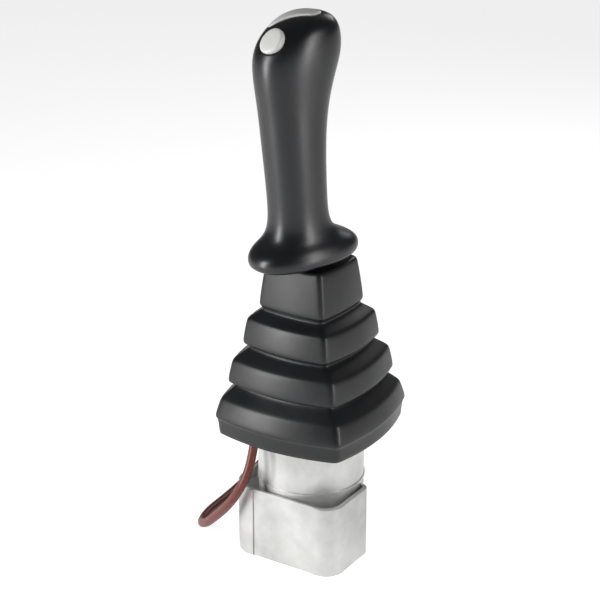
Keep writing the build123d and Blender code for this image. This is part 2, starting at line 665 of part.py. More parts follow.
def make_controls():
    """The round button with its switch, and the crest rocker with its pin and switch."""
    with BuildPart() as thumb_button:
        with BuildSketch(button_plane().offset(-BUTTON_SKIRT)):
            Circle(BUTTON_DIAMETER / 2)
        extrude(amount=BUTTON_HEIGHT)
        fillet(thumb_button.edges().sort_by(Axis.Z)[-1:], 0.8)
    save("thumb_button", thumb_button.part)
    with BuildPart() as thumb_switch:
        with BuildSketch(button_plane().offset(-7.9)):
            RectangleRounded(12, 12, 1)
        extrude(amount=-7)
        with BuildSketch(button_plane().offset(-14.9)):
            with Locations((-3, 0), (3, 0)):
                Rectangle(0.8, 2.8)
        extrude(amount=-3)
    save("thumb_switch", thumb_switch.part)
    # The rocker follows the head's curve, and hangs by a web from its pin
    proud = grip_loft(-ROCKER_HEIGHT)
    core = grip_loft(ROCKER_THICKNESS - ROCKER_HEIGHT)
    pin_plane = rocker_plane().offset(-ROCKER_PIN_DEPTH)
    pin_axis = Plane(origin=pin_plane.origin, x_dir=pin_plane.x_dir, z_dir=pin_plane.y_dir)
    with BuildPart() as crest_rocker:
        with BuildSketch(pin_axis):
            Circle(3)
            with Locations((0, -5)):
                Rectangle(6, 10)
        extrude(amount=ROCKER_WEB / 2, both=True)
        add(grip_loft(1), mode=Mode.INTERSECT)
        with BuildPart(mode=Mode.PRIVATE) as pad:
            with BuildSketch(pin_plane):
                add(rocker_outline(0))
            extrude(amount=20)
            add(proud, mode=Mode.INTERSECT)
            add(core, mode=Mode.SUBTRACT)
        add(pad.part)
        with BuildSketch(pin_axis):
            Circle(ROCKER_PIN_DIAMETER / 2 + RUNNING_GAP)
        extrude(amount=ROCKER_WEB, both=True, mode=Mode.SUBTRACT)
    save("crest_rocker", crest_rocker.part)
    with BuildPart() as rocker_pin:
        with BuildSketch(pin_axis):
            Circle(ROCKER_PIN_DIAMETER / 2)
        extrude(amount=ROCKER_EARS / 2, both=True)
    save("rocker_pin", rocker_pin.part)
    with BuildPart() as rocker_switch:
        with BuildSketch(pin_axis):
            with Locations((0, 3.8)):
                Rectangle(14, 9, align=(Align.CENTER, Align.MIN))
            Circle(2.8)
            Rectangle(5.6, 4, align=(Align.CENTER, Align.MIN))
        extrude(amount=ROCKER_EARS / 2, both=True)
        with BuildSketch(pin_axis):
            Rectangle(9, 7.6)
        extrude(amount=ROCKER_WEB / 2 + 0.4, both=True, mode=Mode.SUBTRACT)
        with BuildSketch(pin_axis):
            Circle(ROCKER_PIN_DIAMETER / 2)
        extrude(amount=ROCKER_EARS, both=True, mode=Mode.SUBTRACT)
    save("rocker_switch", rocker_switch.part)


# ---- Boot ----


def bowed_square(half, bow, corner):
    """A square whose sides bulge between rounded corners."""
    reach = half + bow
    with BuildSketch(mode=Mode.PRIVATE) as outline:
        with BuildLine():
            ThreePointArc((half, -half), (reach, 0), (half, half))
            ThreePointArc((half, half), (0, reach), (-half, half))
            ThreePointArc((-half, half), (-reach, 0), (-half, -half))
            ThreePointArc((-half, -half), (0, -reach), (half, -half))
        make_face()
        fillet(outline.vertices(), corner)
    return outline.sketch


def boot_loft(inset, folds):
    """The boot's folds as one stack of ruled frusta between bowed squares."""
    with BuildPart(mode=Mode.PRIVATE) as stack:
        for lower, upper in zip(folds[:-1], folds[1:]):
            for height, half, bow, corner, twist in (lower, upper):
                with BuildSketch(Plane.XY.offset(height)):
                    with Locations(Location((0, 0), twist)):
                        add(bowed_square(half - inset, bow, corner - inset))
            loft(ruled=True)
    return stack.part


def make_boot():
    """The bellows boot: outer folds less inner folds, open at the skirt and round the lever."""
    outer = boot_loft(0, BOOT_FOLDS)
    first, last = BOOT_FOLDS[0], BOOT_FOLDS[-1]
    inner_folds = BOOT_FOLDS[:-1] + [(last[0] - BOOT_WALL, *last[1:])]
    hollow = boot_loft(BOOT_WALL, inner_folds)
    with BuildPart() as bellows_boot:
        add(outer)
        add(hollow, mode=Mode.SUBTRACT)
        with BuildSketch(Plane.XY.offset(last[0] - 20)):
            with Locations(tuple(lever_station(last[0]).origin)[:2]):
                Circle(LEVER_DIAMETER / 2 + 0.6)
        extrude(amount=30, mode=Mode.SUBTRACT)
    save("bellows_boot", bellows_boot.part)


# ---- Cable ----


def corner_radii(route):
    """Each corner's arc: as large as its two runs allow."""
    radii = []
    for before, corner, after in zip(route[:-2], route[1:-1], route[2:]):
        arriving = Vector(*corner) - Vector(*before)
        leaving = Vector(*after) - Vector(*corner)
        turn = radians(arriving.get_angle(leaving))
        shorter = min(arriving.length, leaving.length)
        radii.append(0.45 * shorter / tan(turn / 2))
    return radii


def cable_tube(name, route):
    """One stretch of the cable as straight runs and tangent arcs."""
    radii = corner_radii(route)
    print(name, "radii", [round(radius, 1) for radius in radii])
    start = Vector(*route[0])
    with BuildPart() as tube:
        with BuildLine() as path:
            FilletPolyline(*route, radius=radii)
        with BuildSketch(Plane(origin=start, z_dir=Vector(*route[1]) - start)):
            Circle(CABLE_DIAMETER / 2)
        sweep(path=path.wires()[0])
    length = path.wires()[0].length
    section = pi * CABLE_DIAMETER ** 2 / 4
    print(name, "length", round(length, 1), "volume share", round(tube.part.volume / (section * length), 4))
    save(name, tube.part)
    return length


def make_cable():
    length = cable_tube("signal_cable", CABLE_ROUTE)
    length += cable_tube("cable_tail", TAIL_ROUTE)
    length += 2 * pi * COIL_RADIUS * COIL_TURNS
    print("cable length with its coil", round(length))
    with BuildPart() as cable_coil:
        with BuildSketch(Plane(origin=(*COIL_CENTRE, 0), x_dir=(1, 0, 0), z_dir=(0, -1, 0))):
            with Locations((COIL_RADIUS, COIL_HEIGHT / 2 + 0.1)):
                RectangleRounded(COIL_BREADTH, COIL_HEIGHT, 3)
        revolve(axis=Axis((*COIL_CENTRE, 0), (0, 0, 1)))
    save("cable_coil", cable_coil.part)


def make_grommet():
    """The rubber grommet in the flange's notch, where the cable comes out."""
    x, y, z = CABLE_EXIT
    with BuildPart() as cable_grommet:
        with Locations((x, y, z)):
            Cylinder(GROMMET_RADIUS, FLANGE_TOP - z, align=(Align.CENTER, Align.CENTER, Align.MIN))
    save("cable_grommet", cable_grommet.part)


def make_connector():
    """A two-way plug housing with a latch rib, at the tail's end."""
    x, y, z = TAIL_ROUTE[-1]
    with BuildPart() as cable_connector:
        with BuildSketch(Plane(origin=(x, y, z), x_dir=(1, 0, 0), z_dir=(0, -1, 0))):
            RectangleRounded(15, 11, 1.5)
        extrude(amount=20)
        with BuildSketch(Plane(origin=(x, y - 4, z + 5.5), z_dir=(0, 0, 1))):
            Rectangle(5, 12)
        extrude(amount=1.6)
    save("cable_connector", cable_connector.part)


make_valve_body()
make_gallery_plugs()
make_mounting_flange()
make_flange_screws()
for side in COLUMNS:
    make_column(side)
    make_springs(side)
make_seals()
make_joint_base()
make_joint_cross()
make_joint_yoke()
make_actuating_disc()
make_lever()
make_handle_hardware()
make_grip()
make_controls()
make_boot()
make_cable()
make_grommet()
make_connector()
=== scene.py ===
"""Hydraulic pilot joystick valve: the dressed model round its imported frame.

Everything is in metres, in the frame's own coordinates: +Z up the lever, -Y towards
the valve body's flat face. Only the tables of forms are in millimetres and degrees.
Each piece or group of like pieces has its own operator, and main() calls them in order.
"""
import json
from math import atan, copysign, cos, hypot, pi, radians, sin

import bmesh
import bpy
from mathutils import Matrix, Vector
from mathutils.bvhtree import BVHTree


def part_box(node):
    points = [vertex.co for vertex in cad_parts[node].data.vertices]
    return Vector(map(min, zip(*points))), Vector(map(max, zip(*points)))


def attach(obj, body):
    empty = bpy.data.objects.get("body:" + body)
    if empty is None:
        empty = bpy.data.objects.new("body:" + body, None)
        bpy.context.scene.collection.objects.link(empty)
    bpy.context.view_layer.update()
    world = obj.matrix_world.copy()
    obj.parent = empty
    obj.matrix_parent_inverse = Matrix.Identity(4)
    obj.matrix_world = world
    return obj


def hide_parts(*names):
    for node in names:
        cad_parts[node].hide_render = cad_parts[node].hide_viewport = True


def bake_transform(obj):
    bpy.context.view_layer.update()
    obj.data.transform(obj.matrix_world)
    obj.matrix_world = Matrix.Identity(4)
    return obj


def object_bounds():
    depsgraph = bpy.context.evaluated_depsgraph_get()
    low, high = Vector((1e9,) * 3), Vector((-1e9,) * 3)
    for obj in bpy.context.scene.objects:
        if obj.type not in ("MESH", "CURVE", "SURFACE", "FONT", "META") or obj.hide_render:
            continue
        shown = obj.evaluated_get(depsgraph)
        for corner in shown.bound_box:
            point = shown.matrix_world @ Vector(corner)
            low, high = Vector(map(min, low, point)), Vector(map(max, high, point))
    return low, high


bl_info = {
    "name": "Pilot joystick valve",
    "version": (1, 0, 0),
    "blender": (4, 5, 0),
    "location": "3D View > Sidebar > Pilot valve",
    "description": "Dresses the packed frame of a hydraulic pilot joystick valve",
    "category": "Object",
}

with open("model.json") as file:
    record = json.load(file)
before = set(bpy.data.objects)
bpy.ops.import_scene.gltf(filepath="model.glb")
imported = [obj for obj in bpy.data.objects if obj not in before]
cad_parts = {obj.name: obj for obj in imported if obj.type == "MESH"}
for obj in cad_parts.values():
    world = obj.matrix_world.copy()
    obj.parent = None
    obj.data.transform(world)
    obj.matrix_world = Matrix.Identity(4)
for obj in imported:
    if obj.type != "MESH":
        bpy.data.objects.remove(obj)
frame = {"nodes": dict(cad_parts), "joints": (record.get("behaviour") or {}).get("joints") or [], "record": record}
CAD_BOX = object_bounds()
MM = 0.001
# Points nearer to each other than this count as one
SAME_PLACE = 0.00002

# ---- Forms that are tables, in millimetres and degrees ----

# The handle's turn about the lever
HANDLE_YAW = -21

# Each section of the handle: height, centre (front negative), half width, half depth
# and tilt
GRIP_SECTIONS = (
    (205.6, -6.4, 12.0, 20.0, 3),
    (204.6, -6.4, 21.0, 34.4, 3),
    (206.2, -6.4, 23.6, 37.6, 3),
    (209.6, -6.4, 24.4, 38.6, 3),
    (213.6, -6.7, 24.0, 37.8, 3),
    (217.4, -7.4, 22.3, 33.4, 3),
    (221.0, -8.6, 19.4, 26.6, 3),
    (226.0, -9.7, 17.4, 21.6, 2),
    (233.0, -10.5, 16.4, 19.6, 2),
    (243.0, -11.2, 16.1, 19.1, 1),
    (262.0, -12.6, 16.5, 19.6, 0),
    (285.0, -14.3, 17.0, 20.6, 0),
    (305.0, -14.6, 17.6, 22.6, 0),
    (322.0, -14.0, 18.8, 26.2, 0),
    (336.0, -12.0, 20.0, 29.2, 0),
    (346.0, -9.8, 19.8, 27.2, 0),
    (354.0, -6.6, 18.4, 22.2, 0),
    (359.5, -3.6, 14.8, 15.4, 0),
    (361.8, -1.6, 8.8, 8.2, 0),
    (362.2, -1.4, 3.0, 2.8, 0),
)
# Exponent of each section's outline: 2 is an ellipse, and more is squarer
GRIP_SQUARENESS = 2.3

# The crest rocker's teardrop outline, clockwise: the start, middle and end of each arc,
# from the pad's own centre, with x along the pad
ROCKER_ARCS = (
    ((-13.5, -3.4), (-16.8, 0), (-13.5, 3.4)),
    ((-13.5, 3.4), (-2, 7.6), (9, 7.4)),
    ((9, 7.4), (16, 0), (9, -7.4)),
    ((9, -7.4), (-2, -4.4), (-13.5, -3.4)),
)
# Further than this from its middle line the pad is let in to the head without a gap
ROCKER_FLANK = 6
# The pad's length is turned this far from the handle's width
ROCKER_TURN = 62

# Each fold line of the boot: height, half width at the corners, bow of each side,
# corner radius and twist
BOOT_FOLDS = (
    (88.0, 44.0, 7.0, 6, 2),
    (98.0, 44.8, 7.0, 6, 2),
    (100.0, 46.2, 7.0, 6, 2),
    (112.0, 43.2, 6.8, 6, 2),
    (119.5, 36.0, 5.6, 5, 1),
    (121.5, 35.4, 5.6, 5, 1),
    (123.0, 39.8, 6.0, 5, 1),
    (138.0, 37.4, 5.6, 5, 1),
    (144.5, 29.6, 4.4, 4.5, 0),
    (145.5, 29.3, 4.3, 4.5, -0.5),
    (146.5, 29.0, 4.2, 4.5, -1),
    (148.5, 32.4, 4.4, 4.5, -2),
    (165.0, 30.2, 3.8, 4.5, -2),
    (170.0, 23.6, 2.4, 4, -2),
    (172.0, 23.0, 2.2, 4, -2),
    (174.5, 24.8, 2.2, 4, -2),
    (203.0, 21.6, 1.6, 4, -3),
    (203.4, 12.0, 1.0, 3, -3),
)
# The two stretches of rubber meet at this row, in the groove under the third tier
BOOT_MEETING = 9

# The cable's route where it isn't coiled: from the flange to the coil, and on from the
# coil to the connector
CABLE_ROUTE = (
    (-20.1, -36.6, 86.0),
    (-20.3, -39.5, 75.0),
    (-21.3, -43.0, 64.0),
    (-24.5, -46.0, 54.0),
    (-31.0, -46.5, 43.0),
    (-40.0, -44.0, 31.5),
    (-51.5, -39.5, 20.0),
    (-63.0, -33.5, 9.0),
    (-73.0, -26.0, 3.1),
    (-78.0, -10.0, 3.1),
    (-79.0, 12.0, 3.1),
    (-81.5, 38.0, 3.1),
    (-86.5, 64.0, 3.1),
)
TAIL_ROUTE = (
    (-26.4, 78.5, 8.6),
    (-24.4, 68.5, 7.3),
    (-23.6, 58.5, 7.0),
)
COIL_CENTRE = (-57, 88, 0)
COIL_TURNS = 2.5
COIL_POINTS_PER_TURN = 14
# The coil, outer, inner, then half a turn on top: turns done, radius and height
COIL_STATIONS = (
    (0.0, 33.4, 3.1),
    (0.9, 33.3, 3.1),
    (1.15, 27.1, 3.1),
    (1.9, 27.0, 3.2),
    (2.15, 29.6, 8.4),
    (2.5, 30.0, 8.8),
)

# ---- Fixed measures, in metres ----

# The button's pocket: its radius over the button's, its depth under the head, and how
# many sides its circle has
BUTTON_POCKET_FIT = 1.03
BUTTON_POCKET_DEPTH = 0.0078
POCKET_SIDES = 48
# The button's cap, middle to foot: share of its radius, height over the head
BUTTON_PROFILE = (
    (0, 0.0012),
    (0.5, 0.00112),
    (0.85, 0.0009),
    (0.96, 0.0006),
    (1, 0.0),
    (1, -0.0045),
)
# The rocker's pocket: its gap round the pad's ends, and its depth under the head
ROCKER_POCKET_GAP = 0.0004
ROCKER_POCKET_DEPTH = 0.004
# The rocker's pad, middle to foot: share of its outline, height over the head
ROCKER_PROFILE = (
    (0.12, 0.0011),
    (0.45, 0.0011),
    (0.8, 0.0010),
    (0.93, 0.0008),
    (0.985, 0.0004),
    (1.0, -0.0002),
    (1.0, -0.0020),
)
# How far a pocket's cutter stands out of the head
CUTTER_RISE = 0.02
# How far outside a seat the search for the head's surface starts
SEARCH_RISE = 0.05

# A height in the lower stretch of the boot and one in the upper, which are handed to the stretches
BOOT_STILL = 0.104
BOOT_MOVED = 0.192

# The body is cast up to the first height and turned from the second
CAST_TOP = 0.0500
TURNED_FOOT = 0.0512

# Where the camera aims, from the middle of the part's height
AIM_BELOW = 0.0070
AIM_LEFT = 0.0074
FLOOR_REACH = 6
FLOOR_GLOW = 0.72
LAMP_AIM_HEIGHT = 0.18
# Each lamp: its turn from the camera in degrees, height, distance, width and length,
# then the setting that gives its power and its share of that
LAMPS = (
    ("key lamp", -66, 0.36, 0.95, 0.30, 0.7, "key_power", 1.0),
    ("side lamp", 58, 0.34, 0.95, 0.14, 0.8, "side_power", 1.0),
    ("back lamp", 150, 0.75, 0.9, 0.4, 0.4, "side_power", 0.3),
)

# Nearly all of a noise's values lie in this span
NOISE_SPAN = (0.3, 0.7)


# ---- Settings that a user would change ----


class GripSettings(bpy.types.PropertyGroup):
    """The moulded handle."""

    segments: bpy.props.IntProperty(
        name="Segments", description="Faces round the grip before smoothing",
        default=32, min=12)
    seam: bpy.props.FloatProperty(
        name="Seam", description="Half width of the parting line",
        default=0.00003, unit="LENGTH", precision=5)
    colour: bpy.props.FloatVectorProperty(
        name="Grip colour", description="Black plastic of the handle",
        default=(0.0045, 0.0050, 0.0070), subtype="COLOR", size=3)
    button_radius: bpy.props.FloatProperty(
        name="Button radius", description="Radius of the thumb button",
        default=0.0085, unit="LENGTH", precision=5)
    pad_colour: bpy.props.FloatVectorProperty(
        name="Button colour", description="Light grey of the button and crest rocker",
        default=(0.70, 0.70, 0.67), subtype="COLOR", size=3)


class BootSettings(bpy.types.PropertyGroup):
    """The bellows boot."""

    edge: bpy.props.FloatProperty(
        name="Edge", description="How far from a fold line its rounding starts",
        default=0.0009, unit="LENGTH", precision=4)
    wall: bpy.props.FloatProperty(
        name="Wall", description="Thickness of the rubber",
        default=0.0016, unit="LENGTH", precision=4)
    colour: bpy.props.FloatVectorProperty(
        name="Boot colour", description="Black rubber of the boot",
        default=(0.0045, 0.0050, 0.0062), subtype="COLOR", size=3)


class ValveSettings(bpy.types.PropertyGroup):
    """The metal of the valve and its cable."""

    cast_colour: bpy.props.FloatVectorProperty(
        name="Casting colour", description="Bright aluminium of the block and round",
        default=(0.60, 0.60, 0.585), subtype="COLOR", size=3)
    steel_colour: bpy.props.FloatVectorProperty(
        name="Steel colour", description="Plated steel parts",
        default=(0.50, 0.50, 0.50), subtype="COLOR", size=3)
    cable_diameter: bpy.props.FloatProperty(
        name="Cable diameter", description="Outer diameter of the cable",
        default=0.006, unit="LENGTH", precision=4)
    cable_colour: bpy.props.FloatVectorProperty(
        name="Cable colour", description="Red-brown jacket of the cable",
        default=(0.150, 0.024, 0.014), subtype="COLOR", size=3)


class StageSettings(bpy.types.PropertyGroup):
    """The camera, lamps and world."""

    azimuth: bpy.props.FloatProperty(
        name="Azimuth", description="Camera's turn from the front towards the right",
        default=radians(32.5), subtype="ANGLE")
    elevation: bpy.props.FloatProperty(
        name="Elevation", description="Camera's height above the horizon",
        default=radians(22), subtype="ANGLE")
    distance: bpy.props.FloatProperty(
        name="Distance", description="Camera's distance from the object",
        default=1.15, unit="LENGTH")
    frame_width: bpy.props.FloatProperty(
        name="Frame width", description="Width that the picture covers at the object",
        default=0.384, unit="LENGTH")
    key_power: bpy.props.FloatProperty(
        name="Key light", description="Power of the broad soft lamp on the left",
        default=9.5, unit="POWER")
    side_power: bpy.props.FloatProperty(
        name="Side light",
        description="Power of the narrow lamp on the right; the back lamp follows it",
        default=5.0, unit="POWER")
    world_level: bpy.props.FloatProperty(
        name="World level", description="Strength of the even light from all round",
        default=0.13)


# ---- Shared helpers ----


def between(first, second, share):
    """A row between two rows of numbers."""
    return tuple(a + (b - a) * share for a, b in zip(first, second))


def handle_point(across, back, up):
    """A point of the handle's frame, in millimetres, as one of the part in metres."""
    turn = radians(HANDLE_YAW)
    x = across * cos(turn) - back * sin(turn)
    y = across * sin(turn) + back * cos(turn)
    return Vector((x, y, up)) * MM


def handle_direction(across, back, up):
    """A direction of the handle's frame in the part's frame."""
    return (handle_point(across, back, up) / MM).normalized()


def put(name, data):
    """A new object in the scene, at the origin."""
    item = bpy.data.objects.new(name, data)
    bpy.context.scene.collection.objects.link(item)
    return item


def new_piece(name, mesh, material, body=None):
    """Put a finished mesh in the scene as one piece, which may ride on a body."""
    piece = put(name, mesh)
    mesh.materials.clear()
    mesh.materials.append(material)
    if body:
        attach(piece, body)
    return piece


def mesh_from(bm, name, smooth=True):
    """A mesh data block from a bmesh, which it frees."""
    mesh = bpy.data.meshes.new(name)
    bm.to_mesh(mesh)
    bm.free()
    for face in mesh.polygons:
        face.use_smooth = smooth
    return mesh


def applied(piece):
    """A copy of the piece's mesh with its modifiers applied."""
    graph = bpy.context.evaluated_depsgraph_get()
    graph.update()
    return bpy.data.meshes.new_from_object(piece.evaluated_get(graph))


def smoothed(bm, name, levels):
    """A new mesh from the bmesh, made smooth by a subdivision surface."""
    carrier = put(name + "_carrier", mesh_from(bm, name))
    surface = carrier.modifiers.new("Smooth", "SUBSURF")
    surface.levels = levels
    surface.render_levels = levels
    result = applied(carrier)
    bpy.data.objects.remove(carrier)
    return result


def cut_with(mesh, cutters, name):
    """The mesh with each cutter mesh taken away from it."""
    target = put(name, mesh)
    tools = [put(cutter.name, cutter) for cutter in cutters]
    for tool in tools:
        cut = target.modifiers.new(tool.name, "BOOLEAN")
        cut.operation = "DIFFERENCE"
        cut.solver = "EXACT"
        cut.object = tool
    result = applied(target)
    for item in tools + [target]:
        bpy.data.objects.remove(item)
    for face in result.polygons:
        face.use_smooth = True
    return result


def ring(bm, points):
    """A closed ring of edges through the points, from a circle of as many vertices."""
    made = bmesh.ops.create_circle(bm, cap_ends=False, radius=1, segments=len(points))
    for vertex, point in zip(made["verts"], points):
        vertex.co = point
    own = set(made["verts"])
    return [edge for edge in bm.edges if own.issuperset(edge.verts)]


def bridge_stack(bm, rings):
    """Join closed rings of edges in order, each to the next."""
    for lower, upper in zip(rings[:-1], rings[1:]):
        bmesh.ops.bridge_loops(bm, edges=lower + upper)


def prism(name, outline, plane, low, high):
    """A closed prism over an outline in a plane, as a cutter."""
    bm = bmesh.new()
    verts = [bm.verts.new(plane @ Vector((x, y, low))) for x, y in outline]
    base = bm.faces.new(verts)
    made = bmesh.ops.extrude_face_region(bm, geom=[base])
    top = [item for item in made["geom"] if isinstance(item, bmesh.types.BMVert)]
    shift = plane.to_3x3() @ Vector((0, 0, high - low))
    bmesh.ops.translate(bm, vec=shift, verts=top)
    bmesh.ops.recalc_face_normals(bm, faces=bm.faces)
    return mesh_from(bm, name, smooth=False)


# ---- Materials ----


def fill(node, inputs):
    """Give a node's inputs their values."""
    for name, value in inputs.items():
        node.inputs[name].default_value = value


class NodeTree:
    """A short way to add and link the nodes of a material or a world."""

    def __init__(self, owner):
        owner.use_nodes = True
        self.tree = owner.node_tree

    def add(self, kind, inputs=None, **settings):
        """A new node, with its settings and the values of its inputs."""
        node = self.tree.nodes.new(kind)
        for name, value in settings.items():
            setattr(node, name, value)
        fill(node, inputs or {})
        return node

    def link(self, source, target):
        self.tree.links.new(source, target)

    def ramp(self, source, low, high, start=0.0, end=1.0):
        """Map a number that runs from start to end on to the range from low to high."""
        node = self.add("ShaderNodeMapRange", {
            "From Min": start, "From Max": end, "To Min": low, "To Max": high})
        self.link(source, node.inputs["Value"])
        return node.outputs["Result"]

    def mix(self, kind, socket_type, share):
        """A mix node's first and second input and its output, all of one type."""
        node = self.add("ShaderNodeMix", data_type=kind)
        self.link(share, node.inputs["Factor"])
        first, second = (s for s in node.inputs
                         if s.type == socket_type and s.name in ("A", "B"))
        return first, second, next(s for s in node.outputs if s.type == socket_type)


class Finish(NodeTree):
    """A material with patterns on object coordinates."""

    def __init__(self, name, colour, roughness, metallic=0.0, specular=0.5):
        self.material = bpy.data.materials.new(name)
        super().__init__(self.material)
        self.shader = self.tree.nodes["Principled BSDF"]
        fill(self.shader, {
            "Base Color": (*colour, 1), "Roughness": roughness,
            "Metallic": metallic, "Specular IOR Level": specular})
        self.place = self.add("ShaderNodeTexCoord").outputs["Object"]

    def noise(self, scale, detail=3.0, rough=0.5, stretch=None):
        """A noise over the piece, which a stretch draws out along its small axes."""
        place = self.place
        if stretch:
            mapping = self.add("ShaderNodeMapping", {"Scale": stretch})
            self.link(self.place, mapping.inputs["Vector"])
            place = mapping.outputs["Vector"]
        node = self.add("ShaderNodeTexNoise", {
            "Scale": scale, "Detail": detail, "Roughness": rough})
        self.link(place, node.inputs["Vector"])
        return node.outputs["Fac"]

    def tint(self, noise, colour, darkest, lightest):
        """Let a noise vary the colour between two factors of it."""
        share = self.ramp(noise, 0, 1, *NOISE_SPAN)
        dark, light, tinted = self.mix("RGBA", "RGBA", share)
        dark.default_value = (*scaled(colour, darkest), 1)
        light.default_value = (*scaled(colour, lightest), 1)
        self.link(tinted, self.shader.inputs["Base Color"])

    def vary_roughness(self, noise, low, high):
        """Let a noise vary the roughness between two values."""
        value = self.ramp(noise, low, high, *NOISE_SPAN)
        self.link(value, self.shader.inputs["Roughness"])

    def bump(self, *layers):
        """Stack bumps, each a height source, strength and distance, into the normal."""
        last = None
        for source, strength, distance in layers:
            node = self.add("ShaderNodeBump", {
                "Strength": strength, "Distance": distance})
            self.link(source, node.inputs["Height"])
            if last:
                self.link(last, node.inputs["Normal"])
            last = node.outputs["Normal"]
        self.link(last, self.shader.inputs["Normal"])


def scaled(colour, factor):
    """A colour made lighter or darker."""
    return tuple(min(1.0, c * factor) for c in colour)


def moulded_plastic(name, colour, roughness):
    """Black moulding with a fine spark-eroded grain."""
    finish = Finish(name, colour, roughness)
    broad = finish.noise(38, detail=2)
    grain = finish.noise(2600, detail=2, rough=0.6)
    finish.tint(broad, colour, 0.86, 1.16)
    finish.vary_roughness(broad, roughness - 0.03, roughness + 0.04)
    finish.bump((grain, 0.22, 0.00012))
    return finish.material


def soft_rubber(name, colour, roughness):
    """Black moulded rubber, with faint bloom and a soft skin."""
    finish = Finish(name, colour, roughness, specular=0.45)
    broad = finish.noise(26, detail=4, rough=0.6)
    skin = finish.noise(420, detail=3, rough=0.6)
    finish.tint(broad, colour, 0.8, 1.3)
    finish.vary_roughness(broad, roughness - 0.05, roughness + 0.06)
    finish.bump((broad, 0.25, 0.0008), (skin, 0.15, 0.0002))
    return finish.material


def plain_plastic(name, colour, roughness):
    """A smooth moulding with a barely uneven skin."""
    finish = Finish(name, colour, roughness)
    finish.tint(finish.noise(60, detail=3), colour, 0.97, 1.02)
    finish.bump((finish.noise(1800, detail=2), 0.08, 0.0001))
    return finish.material


def cast_and_turned(name, colour):
    """Bright aluminium: shot-blasted block below, turning marks on the round above."""
    finish = Finish(name, colour, roughness=0.42, metallic=0.55)
    cloud = finish.noise(34, detail=4, rough=0.6)
    pits = finish.noise(900, detail=3, rough=0.7)
    turning_marks = finish.noise(1, detail=2, stretch=(0.5, 0.5, 2600))
    finish.tint(cloud, colour, 0.78, 1.14)
    split = finish.add("ShaderNodeSeparateXYZ")
    finish.link(finish.place, split.inputs["Vector"])
    # 0 on the cast block, 1 on the turned round above the pocket
    turned = finish.ramp(split.outputs["Z"], 0, 1, CAST_TOP, TURNED_FOOT)
    finish.link(finish.ramp(turned, 0.50, 0.34), finish.shader.inputs["Roughness"])
    cast_height, turned_height, height = finish.mix("FLOAT", "VALUE", turned)
    finish.link(pits, cast_height)
    finish.link(turning_marks, turned_height)
    finish.bump((cloud, 0.25, 0.0006), (height, 0.30, 0.00018))
    return finish.material


def plated_steel(name, colour, roughness=0.34):
    """Plated or ground steel with light machining marks."""
    finish = Finish(name, colour, roughness, metallic=1.0)
    cloud = finish.noise(80, detail=3)
    marks = finish.noise(3, detail=2, stretch=(40, 40, 1400))
    finish.tint(cloud, colour, 0.9, 1.08)
    finish.vary_roughness(cloud, roughness - 0.04, roughness + 0.06)
    finish.bump((marks, 0.12, 0.0001))
    return finish.material


def cable_jacket(name, colour):
    """Red-brown extruded jacket, a little glossy and slightly marked."""
    finish = Finish(name, colour, roughness=0.38)
    cloud = finish.noise(70, detail=4, rough=0.6)
    finish.tint(cloud, colour, 0.6, 1.25)
    finish.vary_roughness(cloud, 0.32, 0.46)
    finish.bump((finish.noise(900, detail=2), 0.1, 0.0001))
    return finish.material


def floor_paint():
    """Looks pale to the camera and in gloss, and keeps part of the object's shadow."""
    material = bpy.data.materials.new("pale floor")
    nodes = NodeTree(material)
    paint = nodes.tree.nodes["Principled BSDF"]
    fill(paint, {
        "Base Color": (0.86, 0.86, 0.86, 1), "Roughness": 0.9,
        "Specular IOR Level": 0.1})
    rays = nodes.add("ShaderNodeLightPath")
    seen = nodes.add("ShaderNodeMath", operation="MAXIMUM")
    dark = nodes.add("ShaderNodeEmission", {"Strength": 0.0})
    glow = nodes.add("ShaderNodeEmission", {
        "Color": (1, 1, 1, 1), "Strength": FLOOR_GLOW})
    pick = nodes.add("ShaderNodeMixShader")
    total = nodes.add("ShaderNodeAddShader")
    out = next(n for n in nodes.tree.nodes if n.type == "OUTPUT_MATERIAL")
    for source, target in (
        (rays.outputs["Is Camera Ray"], seen.inputs[0]),
        (rays.outputs["Is Glossy Ray"], seen.inputs[1]),
        (seen.outputs[0], pick.inputs["Fac"]),
        (dark.outputs[0], pick.inputs[1]),
        (glow.outputs[0], pick.inputs[2]),
        (paint.outputs[0], total.inputs[0]),
        (pick.outputs[0], total.inputs[1]),
        (total.outputs[0], out.inputs["Surface"]),
    ):
        nodes.link(source, target)
    return material


# ---- Stage ----


